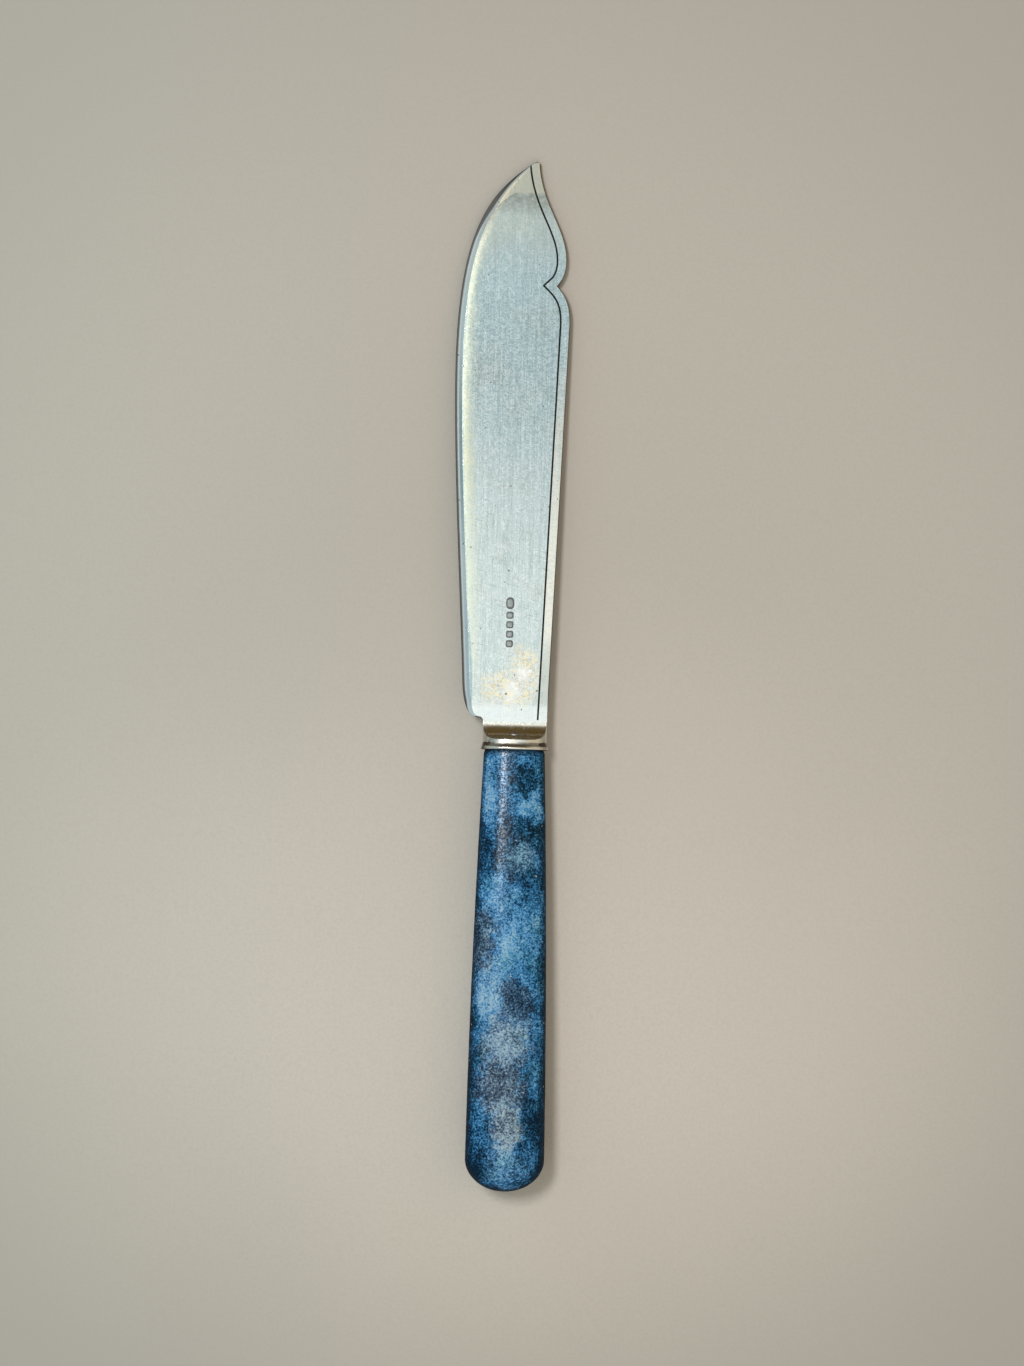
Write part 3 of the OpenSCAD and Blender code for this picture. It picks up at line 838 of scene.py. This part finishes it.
def handle_tree():
    """A tapered bar of superellipse sections with a rounded butt and a drilled hole, from one grid."""
    inputs = {**dict.fromkeys(HandleSettings.__annotations__, "Float"), "Finish": "Material"}
    tree, board, given = start_tree("handle_rule", inputs)
    around, rows, straight_share = 160, 181, 0.72
    grid = board.node("GeometryNodeMeshGrid", {"Size X": 1.0, "Size Y": 1.0, "Vertices X": around + 1,
                                               "Vertices Y": rows})[0]
    u, v, _ = board.parts(board.node("GeometryNodeInputPosition")[0])
    turn = (u + 0.5) * math.tau
    c, d = turn.math("COSINE", turn), turn.math("SINE", turn)
    power = 2.0 / given["squareness"]
    oval_x = c.math("SIGN", c) * abs(c) ** power
    oval_z = d.math("SIGN", d) * abs(d) ** power
    row = (v + 0.5) * (rows - 1)
    drilled = row < 3.5
    outer = ((row - 4.0) / (rows - 5.0)).clip()
    straight = given["length"] - given["butt_round"]
    f = (outer / straight_share).clip()
    bend = ((outer - straight_share) / (1.0 - straight_share)).clip() * (math.pi / 2)
    shrink = bend.math("COSINE", bend)
    along = straight * f + given["butt_round"] * bend.math("SINE", bend)
    g = f * (1.0 + given["swell"] * (1.0 - f))
    ease = 1.0 - (along / EASE).clip()
    ease = ease * ease * EASE_STEP
    half_w = (given["top_width"] + (given["butt_width"] - given["top_width"]) * g) * shrink * 0.5 - ease
    half_t = (given["top"] + (given["butt"] - given["top"]) * g) * shrink * 0.5 - ease
    radius = given["bore"] * 0.5
    floor = (1.0 - row).clip()
    bore_r = radius * row.clip()
    bore_y = 0.0 - (given["bore_depth"] + radius * 0.6 * floor) * (1.0 - (row - 1.0).clip())
    shell_x, shell_z, shell_y = oval_x * half_w, oval_z * half_t, 0.0 - along
    inside = 1.0 - drilled
    place = board.node("ShaderNodeCombineXYZ", {
        0: shell_x * inside + c * bore_r * drilled,
        1: shell_y * inside + bore_y * drilled,
        2: shell_z * inside + d * bore_r * drilled})[0]
    shaped = board.node("GeometryNodeSetPosition", {"Geometry": grid, "Position": place})[0]
    closed = board.node("GeometryNodeMergeByDistance", {"Geometry": shaped, "Distance": 1e-6})[0]
    spot = board.node("GeometryNodeInputPosition")[0]
    lump = board.noise(spot, scale=180.0, detail=2.0) - 0.5
    push = lump * given["waver"] * inside * 2.0
    normal = board.node("GeometryNodeInputNormal")[0]
    offset = board.node("ShaderNodeVectorMath", {0: normal, "Scale": push}, operation="SCALE")[0]
    end_tree(board, board.node("GeometryNodeSetPosition", {"Geometry": closed, "Offset": offset})[0],
             given["Finish"])
    return tree


SHOULDER_DROP = 0.04 * MM  # depth of the worn band where it meets the bevel
LIP = 0.1 * MM  # rounding along the outline


def leaf_mesh(plan, b):
    """The flat sheet with its ground bevel, the worn band beside it and eased edges."""
    top = b.sheet / 2
    rings = [[] for _ in range(9)]
    for p, w, n in zip(plan.points, plan.widths, plan.inward):
        ground = between(0.0, 1.0, (w - b.chamfer) / (b.bevel - b.chamfer))
        rim = between(top - 0.75 * b.chamfer, b.edge / 2, ground)
        worn = ground * b.shoulder
        drop = ground * SHOULDER_DROP
        lip = min(LIP, 0.5 * w)
        slope = (top - drop - rim) / w
        profile = [(w + worn, top), (w + 0.6 * worn, top - 0.16 * drop), (w + 0.28 * worn, top - 0.52 * drop),
                   (w, top - drop)]
        profile += [(inset, rim + slope * inset)
                    for inset in (w - 0.08 * (w - lip), w - 0.5 * (w - lip), lip)]
        profile += [(0.28 * lip, rim * 0.96), (0.0, rim * 0.72)]
        for ring, (inset, z) in zip(rings, profile):
            q = p + inset * n
            ring.append((q.x, q.y, z))
    under = [[(x, y, -z) for x, y, z in ring] for ring in reversed(rings)]
    return ring_mesh("leaf", rings + under)


RUN_OUT = 2.0 * MM  # how far the engraved line's cutter runs on past the tip


def toward(a, b, reach):
    """The point at some reach from a on the line to b; a negative reach is away from b."""
    return a + (b - a).normalized() * reach


def engraved_path(plan, b):
    """Points for the middle of the round cutter, and its radius. Two runs cross at the notch, so that the
    corner is cut sharp, and the second runs out over the tip."""
    radius = ((b.line_width / 2) ** 2 + b.line_depth ** 2) / (2 * b.line_depth)
    level = b.sheet / 2 + radius - b.line_depth
    last = len([n for n in plan.names if n != "edge"]) - 2
    split = plan.names.index("upper")
    line = []
    for i in range(last + 1):
        ahead = (plan.points[i + 1] - plan.points[i]).normalized()
        behind = (plan.points[i] - plan.points[i - 1]).normalized() if i else ahead
        a, c = Vector((-behind.y, behind.x)), Vector((-ahead.y, ahead.x))
        line.append(plan.points[i] + b.line_inset * (a + c) / (1 + a.dot(c)))
    line[0] = toward(line[0], line[1], b.neck_length / 2)
    lower, upper, crossing = line[:split + 1], line[split:], 0.4 * b.line_width
    lower.append(toward(lower[-1], lower[-2], -crossing))
    upper.insert(0, toward(upper[0], upper[1], -crossing))
    upper.append(toward(upper[-1], upper[-2], -RUN_OUT))
    corners, edges = [], []
    for run in (lower, upper):
        edges += [(len(corners) + i, len(corners) + i + 1) for i in range(len(run) - 1)]
        corners += [(p.x, p.y, level) for p in run]
    mesh = bpy.data.meshes.new("engraved_path")
    mesh.from_pydata(corners, edges, [])
    return mesh, radius


OVERRUN = 1.0 * MM  # how far a tool or a joined solid runs on past the face it meets
STEM_SHARE = 0.55  # of the bolster's metal in front of and behind the web
COVE_LIFT = 0.3 * MM  # middle of the cove's round above the bolster's crown
PUNCH_PLACE = (-1.5 * MM, 15.6 * MM)  # middle of the lowest punch, seen from the bolster's nose


def stem_length(f):
    return (f.bolster_length - f.web) * STEM_SHARE


def add_box(work, width, thickness, near, far):
    """Adds a box about the knife's axis, from near to far along it."""
    bmesh.ops.create_cube(work, size=1.0, matrix=Matrix.Translation((0, (near + far) / 2, 0))
                          @ Matrix.Diagonal((width, far - near, thickness, 1.0)))


def add_rod(work, radius, near, far):
    """Adds a rod about the knife's axis, from near to far along it."""
    bmesh.ops.create_cone(work, cap_ends=True, segments=48, radius1=radius, radius2=radius, depth=far - near,
                          matrix=Matrix.Translation((0, (near + far) / 2, 0))
                          @ Matrix.Rotation(math.pi / 2, 4, "X"))


def finished(name, work, finish):
    """The mesh of what was worked on, in one finish."""
    mesh = bpy.data.meshes.new(name)
    work.to_mesh(mesh)
    work.free()
    mesh.materials.append(finish)
    return mesh


def cove_mesh(plan, k):
    """The oval block, hollowed to the blade's faces by a quarter round above and below."""
    b, f = k.blade, k.fittings
    section = oval(f.neck, f.bolster, k.handle.squareness, 256)
    steps, land_steps = 56, 8
    cove_z = f.bolster / 2 + COVE_LIFT
    cove_r = cove_z - b.sheet / 2 - f.nose_lip
    land_y = plan.nose_y - cove_r
    turns = [math.pi / 2 * i / steps for i in range(steps + 1)]
    stations = [(plan.nose_y - cove_r * math.sin(a), cove_z - cove_r * math.cos(a)) for a in turns]
    stations += [(land_y - (land_y - f.collar_length) * i / land_steps, cove_z)
                 for i in range(1, land_steps + 1)]
    rings = []
    for y, roof in stations:
        ring = []
        for x, z in section:
            h = between(0.0, 1.0, 0.5 + 0.5 * (roof - abs(z)) / f.arris)
            height = roof + (abs(z) - roof) * h - f.arris * h * (1 - h)
            ring.append((x, y, math.copysign(min(height, abs(z)), z) if abs(z) > 1e-9 else 0.0))
        rings.append(ring)
    return ring_mesh("bolster_block", rings)


def collar_mesh(k):
    """The beaded rim, the trumpet flare up from it and the hole for the tang."""
    f, square, count = k.fittings, k.handle.squareness, 192
    bead_steps, flare_steps = 12, 14
    rings = []
    for i in range(bead_steps + 1):
        a = math.radians(-90 + 150 * i / bead_steps)
        back = f.bead * (1 - math.cos(a))
        rings.append([(x, f.bead * (1 + math.sin(a)) / 2, z)
                      for x, z in oval(f.collar_width - back, f.collar - back, square, count)])
    for i in range(flare_steps + 1):
        a = math.radians(84 * (1 - i / flare_steps))
        s = 1 - math.cos(a)
        rings.append([(x, between(f.collar_length, f.bead, math.sin(a)), z)
                      for x, z in oval(between(f.neck, f.collar_width - f.bead / 2, s),
                                       between(f.bolster, f.collar - f.bead / 2, s), square, count)])
    hole = oval(f.tang + 2 * f.fit, f.tang + 2 * f.fit, 2.0, count)
    rings += [[(x, y, z) for x, z in hole] for y in (f.collar_length, 0.0)]
    return ring_mesh("collar_ring", rings, "join", "join")


class KNIFE_OT_blade(Operator):
    """Makes the engraved blade with its ground edge and stem"""
    bl_idname = "fish_knife.blade"
    bl_label = "Blade"

    def execute(self, context):
        k = settings()
        b, f, plan = k.blade, k.fittings, blade_plan()
        mesh = leaf_mesh(plan, b)
        mesh.materials.append(blade_finish())
        work = bmesh.new()
        add_box(work, b.stem_width, b.stem_sheet, plan.nose_y - stem_length(f), plan.nose_y + OVERRUN)
        mesh = combine(mesh, finished("stem", work, mesh.materials[0]), "UNION")
        path, radius = engraved_path(plan, b)
        line = grow("engraved_line", engraver_tree(), {"Radius": radius, "Finish": recess_finish()}, path)
        mesh = combine(mesh, mend(line), "DIFFERENCE", crossing=True)
        across, along = PUNCH_PLACE
        punches = grow("punch_marks", punch_tree(), {
            "Count": b.punch_count, "Start": (across, plan.nose_y + along, b.sheet / 2 - b.punch_depth),
            "Step": (0.0, b.punch_pitch, 0.0), "Radius": b.punch_size / 2, "Depth": b.punch_depth,
            "Finish": punch_finish()})
        mesh = combine(mesh, mend(punches), "DIFFERENCE", crossing=True)
        place_piece("silver_blade", mesh, "blade", 8.0)
        return {"FINISHED"}


class KNIFE_OT_bolster(Operator):
    """Makes the oval bolster with a cove on each face"""
    bl_idname = "fish_knife.bolster"
    bl_label = "Bolster"

    def execute(self, context):
        k = settings()
        b, f, plan = k.blade, k.fittings, blade_plan()
        mesh = cove_mesh(plan, k)
        mesh.materials.append(fitting_finish("coved_silver", 0.0))
        slot_end = plan.nose_y - stem_length(f) - f.fit
        work = bmesh.new()
        add_box(work, b.stem_width + 2 * f.fit, b.stem_sheet + 2 * f.fit, slot_end, plan.nose_y + OVERRUN)
        add_rod(work, f.spigot / 2 + f.fit, f.collar_length - OVERRUN, slot_end + 2 * f.fit - f.web)
        hollows = finished("bolster_hollows", work, mesh.materials[0])
        mesh = combine(mesh, mend(hollows), "DIFFERENCE")
        place_piece("coved_bolster", mesh, "bolster", 50.0)
        return {"FINISHED"}


class KNIFE_OT_collar(Operator):
    """Makes the thin collar that flares from the bolster to a rounded rim"""
    bl_idname = "fish_knife.collar"
    bl_label = "Collar"

    def execute(self, context):
        mesh = collar_mesh(settings())
        mesh.materials.append(fitting_finish("flared_silver", 0.9))
        place_piece("flared_collar", mesh, "collar", 50.0)
        return {"FINISHED"}


class KNIFE_OT_handle(Operator):
    """Makes the mottled handle, drilled for the tang"""
    bl_idname = "fish_knife.handle"
    bl_label = "Handle"

    def execute(self, context):
        h = settings().handle
        values = {key: getattr(h, key) for key in HandleSettings.__annotations__}
        mesh = grow("handle_bar", handle_tree(), {**values, "Finish": handle_finish()})
        place_piece("mottled_handle", mend(mesh), "handle", 40.0)
        return {"FINISHED"}


class KNIFE_OT_core(Operator):
    """Gives the hidden tang and its cement their finishes"""
    bl_idname = "fish_knife.core"
    bl_label = "Tang and cement"

    def execute(self, context):
        for node, finish in (("tang", tang_finish()), ("tang_cement", cement_finish())):
            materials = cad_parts[node].data.materials
            materials.clear()
            materials.append(finish)
        return {"FINISHED"}


LAMP_PLACE = (-0.48, 0.41, 1.60)
CENTRE = Vector((-0.000782, 0.013385, 0.0))  # point of the knife under the camera
CENTRE_HEIGHT = 3.0 * MM
TABLE_REACH = 1.5


def soft_room(s):
    """A world that is pale overhead, dimmer at the sides and dark beyond the tip."""
    world = bpy.data.worlds.new("soft_room")
    world.use_nodes = True
    world.node_tree.nodes.clear()
    board = Board(world.node_tree)
    x, y, z = board.parts(board.node("ShaderNodeTexCoord")["Generated"])
    above = board.layers(
        s.zenith,
        ((y + x * 0.25).rise(0.095, 0.114), s.shade),
        (y.rise(0.122, 0.150), Vector(s.shade) * 1.44),
        (x.rise(-0.025, -0.09), s.aside))
    room = board.layers(
        s.horizon,
        (z.rise(0.42, 0.80), s.dome),
        (x.rise(0.14, 0.36), s.right),
        (y.rise(-0.30, -0.60) * z.rise(0.75, 0.35), s.back),
        (x.rise(-0.24, -0.42), s.left),
        (y.rise(0.17, 0.60) * abs(x).rise(0.46, 0.28), s.wall),
        (z.rise(0.945, 0.965), above))
    light = board.node("ShaderNodeBackground", {"Color": room, "Strength": s.level})[0]
    board.node("ShaderNodeOutputWorld", {"Surface": light})
    return world


def soft_box(s):
    """A broad lamp above, to the left of the tip."""
    light = bpy.data.lights.new("soft_box", "AREA")
    light.shape, light.size, light.size_y = "RECTANGLE", s.lamp_width, s.lamp_length
    light.energy, light.color = s.lamp, s.lamp_tint
    lamp = bpy.data.objects.new("soft_box", light)
    lamp.location = LAMP_PLACE
    return lamp


def overhead(s):
    """A camera that looks straight down on the knife."""
    lens = bpy.data.cameras.new("overhead")
    lens.sensor_width = 36.0
    lens.lens = lens.sensor_width * s.camera_height / s.view_height
    lens.clip_start, lens.clip_end = 0.01, 20.0
    camera = bpy.data.objects.new("overhead", lens)
    centre = blade_plan().rest @ CENTRE
    camera.location = (centre.x, centre.y, s.camera_height + CENTRE_HEIGHT)
    camera.rotation_euler = (0.0, 0.0, s.turn)
    return camera


class KNIFE_OT_stage(Operator):
    """Sets the table, the soft light and the camera"""
    bl_idname = "fish_knife.stage"
    bl_label = "Stage"

    def execute(self, context):
        scene, s = context.scene, settings().stage
        floor = bpy.data.meshes.new("table")
        corners = ((-1, -1), (1, -1), (1, 1), (-1, 1))
        floor.from_pydata([(x * TABLE_REACH, y * TABLE_REACH, 0) for x, y in corners], [], [(0, 1, 2, 3)])
        table = add_object("table_top", floor, table_finish())
        scene.world = soft_room(s)
        lamp, camera = soft_box(s), overhead(s)
        for thing in (lamp, camera):
            scene.collection.objects.link(thing)
        scene.camera = camera
        scene.view_settings.view_transform = "Standard"
        return {"FINISHED"}


class KNIFE_PT_panel(Panel):
    """Lists the steps that dress the knife"""
    bl_idname = "KNIFE_PT_panel"
    bl_label = "Fish Knife"
    bl_space_type = "VIEW_3D"
    bl_region_type = "UI"
    bl_category = "Fish Knife"

    def draw(self, context):
        for step in STEPS:
            self.layout.operator(step.bl_idname)
        for group in ("blade", "fittings", "handle", "finish", "stage"):
            box = self.layout.box()
            box.label(text=group.capitalize())
            values = getattr(context.scene.fish_knife, group)
            for key in values.__annotations__:
                box.prop(values, key)


STEPS = (KNIFE_OT_blade, KNIFE_OT_bolster, KNIFE_OT_collar, KNIFE_OT_handle, KNIFE_OT_core, KNIFE_OT_stage)
CLASSES = (BladeSettings, FittingSettings, HandleSettings, FinishSettings, StageSettings, KnifeSettings,
           *STEPS, KNIFE_PT_panel)


def register():
    for item in CLASSES:
        bpy.utils.register_class(item)
    bpy.types.Scene.fish_knife = PointerProperty(type=KnifeSettings)


def unregister():
    del bpy.types.Scene.fish_knife
    for item in reversed(CLASSES):
        bpy.utils.unregister_class(item)


def main():
    register()
    bpy.ops.fish_knife.blade()
    bpy.ops.fish_knife.bolster()
    bpy.ops.fish_knife.collar()
    bpy.ops.fish_knife.handle()
    bpy.ops.fish_knife.core()
    bpy.ops.fish_knife.stage()
    bpy.context.view_layer.update()


if __name__ == "__main__":
    main()
